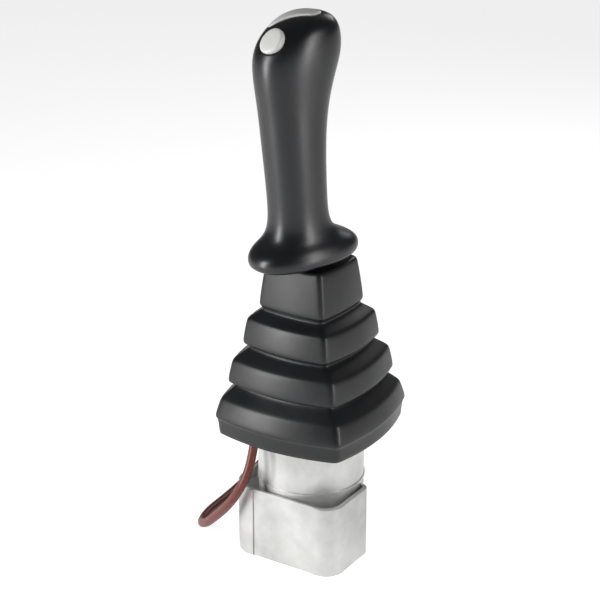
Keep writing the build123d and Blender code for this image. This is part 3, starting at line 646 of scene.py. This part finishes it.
class PILOTVALVE_OT_stage(bpy.types.Operator):
    """Set up the camera, floor, world and lamps."""

    bl_idname = "pilotvalve.stage"
    bl_label = "Stage"

    def execute(self, context):
        scene = context.scene
        stage = scene.pilotvalve_stage
        scene.view_settings.view_transform = "Standard"
        self.make_camera(scene, stage)
        self.make_floor()
        self.make_world(scene, stage)
        self.make_lamps(stage)
        return {"FINISHED"}

    def make_camera(self, scene, stage):
        data = bpy.data.cameras.new("camera")
        camera = put("camera", data)
        scene.camera = camera
        turn, rise = stage.azimuth, stage.elevation
        right = Vector((cos(turn), sin(turn), 0))
        towards = Vector((sin(turn) * cos(rise), -cos(turn) * cos(rise), sin(rise)))
        height = (CAD_BOX[0][2] + CAD_BOX[1][2]) / 2
        aim = Vector((0, 0, height - AIM_BELOW)) - right * AIM_LEFT
        camera.location = aim + towards * stage.distance
        camera.rotation_euler = (-towards).to_track_quat("-Z", "Y").to_euler()
        data.sensor_width = 36
        data.lens = data.sensor_width * stage.distance / stage.frame_width
        data.clip_start = 0.01
        data.clip_end = 50

    def make_floor(self):
        bm = bmesh.new()
        bmesh.ops.create_grid(bm, x_segments=1, y_segments=1, size=FLOOR_REACH)
        mesh = mesh_from(bm, "floor", smooth=False)
        mesh.materials.append(floor_paint())
        floor = put("floor", mesh)

    def make_world(self, scene, stage):
        """White to the camera, and an even low light to everything else."""
        world = bpy.data.worlds.new("studio")
        scene.world = world
        nodes = NodeTree(world)
        background = nodes.tree.nodes["Background"]
        fill(background, {"Color": (1, 1, 1, 1)})
        rays = nodes.add("ShaderNodeLightPath")
        level = nodes.ramp(rays.outputs["Is Camera Ray"], stage.world_level, 1.0)
        nodes.link(level, background.inputs["Strength"])

    def make_lamps(self, stage):
        for name, turn, height, distance, width, length, setting, share in LAMPS:
            data = bpy.data.lights.new(name, "AREA")
            data.shape = "RECTANGLE"
            data.size = width
            data.size_y = length
            data.energy = getattr(stage, setting) * share
            lamp = put(name, data)
            angle = stage.azimuth + radians(turn)
            place = Vector((sin(angle) * distance, -cos(angle) * distance, height))
            aim = Vector((0, 0, LAMP_AIM_HEIGHT)) - place
            lamp.location = place
            lamp.rotation_euler = aim.to_track_quat("-Z", "Y").to_euler()


# ---- Cable ----


def coil_points():
    """Control points of the coil that is put away behind the valve, in millimetres."""
    points = []
    for step in range(int(COIL_TURNS * COIL_POINTS_PER_TURN) + 1):
        turns = step / COIL_POINTS_PER_TURN
        before, after = next(
            pair for pair in zip(COIL_STATIONS[:-1], COIL_STATIONS[1:])
            if pair[0][0] <= turns <= pair[1][0])
        share = (turns - before[0]) / (after[0] - before[0])
        share = share * share * (3 - 2 * share)
        _, radius, height = between(before, after, share)
        # A quadratic spline runs inside its control points by this much
        radius = radius / cos(pi / COIL_POINTS_PER_TURN)
        angle = pi - 2 * pi * turns
        place = Vector((radius * cos(angle), radius * sin(angle), height))
        points.append(Vector(COIL_CENTRE) + place)
    return points


class PILOTVALVE_OT_cable(bpy.types.Operator):
    """Make the signal cable, with its coil put away behind the valve."""

    bl_idname = "pilotvalve.cable"
    bl_label = "Signal cable"

    def execute(self, context):
        settings = context.scene.pilotvalve_valve
        points = [Vector(point) for point in CABLE_ROUTE]
        points += coil_points()
        points += [Vector(point) for point in TAIL_ROUTE]
        points = [point * MM for point in points]
        curve = bpy.data.curves.new("signal_cable_jacket", "CURVE")
        curve.dimensions = "3D"
        spline = curve.splines.new("NURBS")
        spline.points.add(len(points) - 1)
        for control, point in zip(spline.points, points):
            control.co = (*point, 1)
        # A NURBS takes these only once it has its points
        spline.order_u = 3
        spline.use_endpoint_u = True
        curve.resolution_u = 8
        curve.bevel_depth = settings.cable_diameter / 2
        curve.bevel_resolution = 5
        curve.use_fill_caps = True
        curve.materials.append(cable_jacket("cable jacket", settings.cable_colour))
        cable = put("signal_cable_jacket", curve)
        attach(cable, "valve")
        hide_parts("signal_cable", "cable_coil", "cable_tail")
        return {"FINISHED"}


# ---- Boot ----


def boot_ring(bm, fold, sides=10, arc=4):
    """One fold line: a twisted square with bulging sides and rounded corners."""
    height, half, bow, corner, twist = fold

    def bulge(along):
        return half + bow * (1 - (along / half) ** 2)

    # The corner's arc is tangent to the side's parabola where their slopes agree, and a
    # few rounds find that place
    centre, slope = half - corner, 0.0
    for _ in range(8):
        meet = centre + corner * sin(slope)
        slope = atan(2 * bow * meet / half ** 2)
        centre = bulge(meet) - corner * cos(slope)
    quarter = []
    for step in range(sides):
        along = meet * (2 * step / sides - 1)
        quarter.append(Vector((bulge(along), along, 0)))
    for step in range(arc):
        angle = slope + (pi / 2 - 2 * slope) * step / arc
        quarter.append(
            Vector((centre + corner * cos(angle), centre + corner * sin(angle), 0)))
    points = []
    for count in range(4):
        spin = Matrix.Rotation(count * pi / 2 + radians(twist), 3, "Z")
        points += [(spin @ point + Vector((0, 0, height))) * MM for point in quarter]
    return ring(bm, points)


def rounded_folds(folds, edge):
    """Two rows beside each fold line, in its place, so that its edge is rounded."""
    # A row goes no further than this share of the way to the next fold
    furthest = 0.42
    rows = [folds[0]]
    for before, fold, after in zip(folds[:-2], folds[1:-1], folds[2:]):
        for other in (before, after):
            run = hypot(other[0] - fold[0], other[1] + other[2] - fold[1] - fold[2])
            rows.append(between(fold, other, min(furthest, edge / run)))
    return rows + [folds[-1]]


class PILOTVALVE_OT_boot(bpy.types.Operator):
    """Make the bellows boot as two stretches of rubber that meet in a groove."""

    bl_idname = "pilotvalve.boot"
    bl_label = "Bellows boot"

    def execute(self, context):
        settings = context.scene.pilotvalve_boot
        material = soft_rubber("boot rubber", settings.colour, roughness=0.40)
        lower, upper = BOOT_FOLDS[:BOOT_MEETING + 1], BOOT_FOLDS[BOOT_MEETING:]
        meeting = lower[-1][0] * MM
        self.stretch("boot_lower_folds", lower, settings, material, ("valve", "cross"),
                     (0, 0, BOOT_STILL), (0, 0, meeting), roofed=False)
        self.stretch("boot_upper_folds", upper, settings, material, ("cross", "lever"),
                     (0, 0, meeting), (0, 0, BOOT_MOVED), roofed=True)
        return {"FINISHED"}

    def stretch(self, name, folds, settings, material, bodies, start, end, roofed):
        """One stretch of rubber over its run of fold lines."""
        bm = bmesh.new()
        rings = [boot_ring(bm, row) for row in rounded_folds(folds, settings.edge / MM)]
        bridge_stack(bm, rings)
        if roofed:
            bmesh.ops.edgeloop_fill(bm, edges=rings[-1])
        bmesh.ops.recalc_face_normals(bm, faces=bm.faces)
        piece = new_piece(name, smoothed(bm, name, levels=2), material)
        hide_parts("bellows_boot")
        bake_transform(piece)
        wall = piece.modifiers.new("Wall", "SOLIDIFY")
        wall.thickness = settings.wall
        wall.offset = -1


# ---- Handle ----


def grip_ring(bm, section, segments):
    """One closed section of the handle, as a superellipse."""
    height, back, half_width, half_depth, tilt = section
    slope = radians(tilt)
    power = 2 / GRIP_SQUARENESS
    points = []
    for step in range(segments):
        angle = 2 * pi * step / segments
        across, along = (
            half * copysign(abs(part) ** power, part)
            for half, part in ((half_width, cos(angle)), (half_depth, sin(angle))))
        points.append(handle_point(
            across, back + along * cos(slope), height + along * sin(slope)))
    return ring(bm, points)


def grip_form(segments, levels):
    """The whole handle as one smooth closed form."""
    bm = bmesh.new()
    rings = [grip_ring(bm, section, segments) for section in GRIP_SECTIONS]
    bridge_stack(bm, rings)
    for end in (rings[0], rings[-1]):
        bmesh.ops.edgeloop_fill(bm, edges=end)
    bmesh.ops.recalc_face_normals(bm, faces=bm.faces)
    return smoothed(bm, "grip_form", levels)


def joint_named(name):
    """A joint of the frame."""
    return next(joint for joint in frame["joints"] if joint["name"] == name)


def seat_plane(centre, normal, along):
    """A matrix whose z is the seat's outward normal and x the given way along it."""
    z = normal.normalized()
    x = (along - z * along.dot(z)).normalized()
    y = z.cross(x)
    turn = Matrix((x, y, z)).transposed().to_4x4()
    return Matrix.Translation(centre) @ turn


def pocket_circle(radius):
    """The outline of the button's pocket."""
    angles = (2 * pi * side / POCKET_SIDES for side in range(POCKET_SIDES))
    return [(radius * cos(angle), radius * sin(angle)) for angle in angles]


def rocker_outline(margin, count=10):
    """The rocker's outline, in metres, moved out by a margin, and in at its flanks."""
    points = []
    for start, middle, end in (map(Vector, arc) for arc in ROCKER_ARCS):
        # The quadratic through the three points stands for the arc
        control = middle * 2 - (start + end) / 2
        for step in range(count):
            t = step / count
            points.append(
                start * (1 - t) ** 2 + control * 2 * t * (1 - t) + end * t * t)
    moved = []
    for index, point in enumerate(points):
        before, after = points[index - 1], points[(index + 1) % len(points)]
        way = (after - before).normalized()
        outward = Vector((-way.y, way.x))
        if abs(point.y) > ROCKER_FLANK:
            outward = -outward
        moved.append((point + outward * margin / MM) * MM)
    return [(point.x, point.y) for point in moved]


class PILOTVALVE_OT_handle(bpy.types.Operator):
    """Make the moulded handle as two half shells, with its button and crest rocker."""

    bl_idname = "pilotvalve.handle"
    bl_label = "Handle"

    def execute(self, context):
        settings = context.scene.pilotvalve_grip
        plastic = moulded_plastic("grip plastic", settings.colour, roughness=0.33)
        pale = plain_plastic("grey plastic", settings.pad_colour, roughness=0.42)
        form = grip_form(settings.segments, levels=2)
        self.surface = BVHTree.FromPolygons([v.co.copy() for v in form.vertices],
                                            [p.vertices[:] for p in form.polygons])
        button = self.button_seat()
        rocker = self.rocker_seat()
        self.make_button(button, settings.button_radius, pale)
        self.make_rocker(rocker, pale)
        circle = pocket_circle(settings.button_radius * BUTTON_POCKET_FIT)
        teardrop = rocker_outline(ROCKER_POCKET_GAP)
        form = cut_with(form, [
            prism("button_cut", circle, button, -BUTTON_POCKET_DEPTH, CUTTER_RISE),
            prism("rocker_cut", teardrop, rocker, -ROCKER_POCKET_DEPTH, CUTTER_RISE),
        ], "grip_cut")
        for side, name in ((-1, "left"), (1, "right")):
            self.make_half(form, side, name, settings.seam, plastic)
        return {"FINISHED"}

    def surface_point(self, point, normal):
        """Where the line through the point along the normal meets the handle."""
        start = point + normal * SEARCH_RISE
        hit = self.surface.ray_cast(start, -normal, 2 * SEARCH_RISE)[0]
        if hit is None:
            raise RuntimeError("The handle's surface was not found")
        return hit

    def button_seat(self):
        """The round button's seat on the head, from its joint and its solid."""
        normal = -Vector(joint_named("press_button")["axis"])
        low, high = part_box("thumb_button")
        centre = (Vector(low) + Vector(high)) / 2
        seat = seat_plane(centre, normal, handle_direction(1, 0, 0))
        seat.translation = self.surface_point(seat.translation, normal)
        return seat

    def rocker_seat(self):
        """The crest rocker's seat on the head, from its joint."""
        joint = joint_named("rock_crest")
        turn = radians(ROCKER_TURN)
        along = handle_direction(cos(turn), sin(turn), 0)
        normal = along.cross(Vector(joint["axis"])).normalized()
        if normal.z < 0:
            normal = -normal
        centre = Vector(joint["pos_m"])
        seat = seat_plane(centre, normal, along)
        seat.translation = self.surface_point(centre, normal)
        return seat

    def make_button(self, seat, radius, material):
        """A crowned cap with a rolled edge, spun about the seat's normal."""
        bm = bmesh.new()
        verts = [
            bm.verts.new((radius * share, 0, rise)) for share, rise in BUTTON_PROFILE]
        edges = [bm.edges.new(pair) for pair in zip(verts[:-1], verts[1:])]
        bmesh.ops.spin(bm, geom=verts + edges, cent=(0, 0, 0), axis=(0, 0, 1),
                       angle=2 * pi, steps=40, use_merge=True)
        bmesh.ops.remove_doubles(bm, verts=bm.verts, dist=SAME_PLACE)
        rim = [edge for edge in bm.edges if edge.is_boundary]
        bmesh.ops.edgeloop_fill(bm, edges=rim)
        bmesh.ops.recalc_face_normals(bm, faces=bm.faces)
        bmesh.ops.transform(bm, matrix=seat, verts=bm.verts)
        mesh = mesh_from(bm, "thumb_button_cap")
        piece = new_piece("thumb_button_cap", mesh, material, "button")
        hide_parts("thumb_button")

    def make_rocker(self, seat, material):
        """A pad that follows the head's curve and rolls off at its edge."""
        outline = [Vector((x, y, 0)) for x, y in rocker_outline(0)]
        centre = sum(outline, Vector()) / len(outline)
        normal = seat.to_3x3() @ Vector((0, 0, 1))
        bm = bmesh.new()
        rings = []
        for share, rise in ROCKER_PROFILE:
            places = [seat @ (centre + (point - centre) * share) for point in outline]
            rings.append(ring(bm, [
                self.surface_point(place, normal) + normal * rise for place in places]))
        bridge_stack(bm, rings)
        for end in (rings[0], rings[-1]):
            bmesh.ops.edgeloop_fill(bm, edges=end)
        bmesh.ops.recalc_face_normals(bm, faces=bm.faces)
        mesh = smoothed(bm, "crest_rocker_pad", levels=1)
        piece = new_piece("crest_rocker_pad", mesh, material, "rocker")
        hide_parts("crest_rocker")

    def make_half(self, form, side, name, seam, material):
        """One half of the handle, closed on the middle plane and a hair short of it."""
        bm = bmesh.new()
        bm.from_mesh(form)
        outward = handle_direction(side, 0, 0)
        bmesh.ops.bisect_plane(bm, geom=bm.verts[:] + bm.edges[:] + bm.faces[:],
                               dist=SAME_PLACE, plane_co=(0, 0, 0), plane_no=outward,
                               clear_inner=True, clear_outer=False)
        rim = [edge for edge in bm.edges if edge.is_boundary]
        bmesh.ops.triangle_fill(bm, use_beauty=True, edges=rim)
        for edge in rim:
            edge.smooth = False
        rim_verts = list({vertex for edge in rim for vertex in edge.verts})
        bmesh.ops.translate(bm, vec=outward * seam, verts=rim_verts)
        bmesh.ops.recalc_face_normals(bm, faces=bm.faces)
        mesh = mesh_from(bm, f"grip_{name}_moulding")
        piece = new_piece(
            f"grip_{name}_moulding", mesh, material, "lever")
        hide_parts(f"grip_{name}_shell")


# ---- Carried-over solids ----

# The finish of each slot that no setting changes: the function that makes it, its name,
# colour and roughness
SOLID_FINISHES = {
    "polished_steel": (plated_steel, "ground steel", (0.68, 0.68, 0.69), 0.18),
    "spring_steel": (plated_steel, "spring wire", (0.36, 0.36, 0.37), 0.32),
    "bronze": (plated_steel, "turned bronze", (0.56, 0.38, 0.18), 0.30),
    "brass": (plated_steel, "turned brass", (0.66, 0.50, 0.22), 0.28),
    "seal_rubber": (soft_rubber, "seal rubber", (0.02, 0.02, 0.02), 0.5),
    "boot_rubber": (soft_rubber, "boot rubber inside", (0.02, 0.02, 0.02), 0.5),
    "grip_plastic": (moulded_plastic, "grip plastic inside", (0.02, 0.02, 0.02), 0.45),
    "grey_plastic": (plain_plastic, "grey plastic inside", (0.6, 0.6, 0.6), 0.4),
    "switch_plastic": (plain_plastic, "switch housing", (0.03, 0.03, 0.035), 0.45),
    "connector_plastic": (
        plain_plastic, "connector housing", (0.025, 0.025, 0.027), 0.42),
}


class PILOTVALVE_OT_solids(bpy.types.Operator):
    """Give every solid that stays in view its finish."""

    bl_idname = "pilotvalve.solids"
    bl_label = "Finishes of the solids"

    def execute(self, context):
        settings = context.scene.pilotvalve_valve
        steel = settings.steel_colour
        finishes = {
            "cast_aluminium": cast_and_turned("bright casting", settings.cast_colour),
            "flange_steel": plated_steel("flange steel", scaled(steel, 1.1), 0.40),
            "steel": plated_steel("plated steel", steel),
            "cable_jacket": cable_jacket("cable jacket inside", settings.cable_colour),
        }
        for slot, (make, name, colour, roughness) in SOLID_FINISHES.items():
            finishes[slot] = make(name, colour, roughness)
        parts = frame["record"]["subparts"]
        slots = {part["node"]: part["material_slot"] for part in parts}
        for name, node in frame["nodes"].items():
            for material_slot in node.material_slots:
                material_slot.material = finishes[slots[name]]
        return {"FINISHED"}


class PILOTVALVE_PT_panel(bpy.types.Panel):
    """The valve's operators and settings."""

    bl_idname = "PILOTVALVE_PT_panel"
    bl_label = "Pilot valve"
    bl_space_type = "VIEW_3D"
    bl_region_type = "UI"
    bl_category = "Pilot valve"

    def draw(self, context):
        layout = self.layout
        for operator in OPERATORS:
            layout.operator(operator.bl_idname)
        for group in GROUPS:
            settings = getattr(context.scene, group)
            box = layout.box()
            for name in settings.bl_rna.properties.keys():
                if name not in ("rna_type", "name"):
                    box.prop(settings, name)


GROUPS = {
    "pilotvalve_grip": GripSettings,
    "pilotvalve_boot": BootSettings,
    "pilotvalve_valve": ValveSettings,
    "pilotvalve_stage": StageSettings,
}
OPERATORS = (
    PILOTVALVE_OT_stage,
    PILOTVALVE_OT_cable,
    PILOTVALVE_OT_solids,
    PILOTVALVE_OT_boot,
    PILOTVALVE_OT_handle,
)


def register():
    for name, group in GROUPS.items():
        bpy.utils.register_class(group)
        setattr(bpy.types.Scene, name, bpy.props.PointerProperty(type=group))
    for operator in OPERATORS:
        bpy.utils.register_class(operator)
    bpy.utils.register_class(PILOTVALVE_PT_panel)


def unregister():
    bpy.utils.unregister_class(PILOTVALVE_PT_panel)
    for operator in reversed(OPERATORS):
        bpy.utils.unregister_class(operator)
    for name, group in GROUPS.items():
        delattr(bpy.types.Scene, name)
        bpy.utils.unregister_class(group)


def main():
    register()
    for operator in OPERATORS:
        group, name = operator.bl_idname.split(".")
        getattr(getattr(bpy.ops, group), name)()


if __name__ == "__main__":
    main()
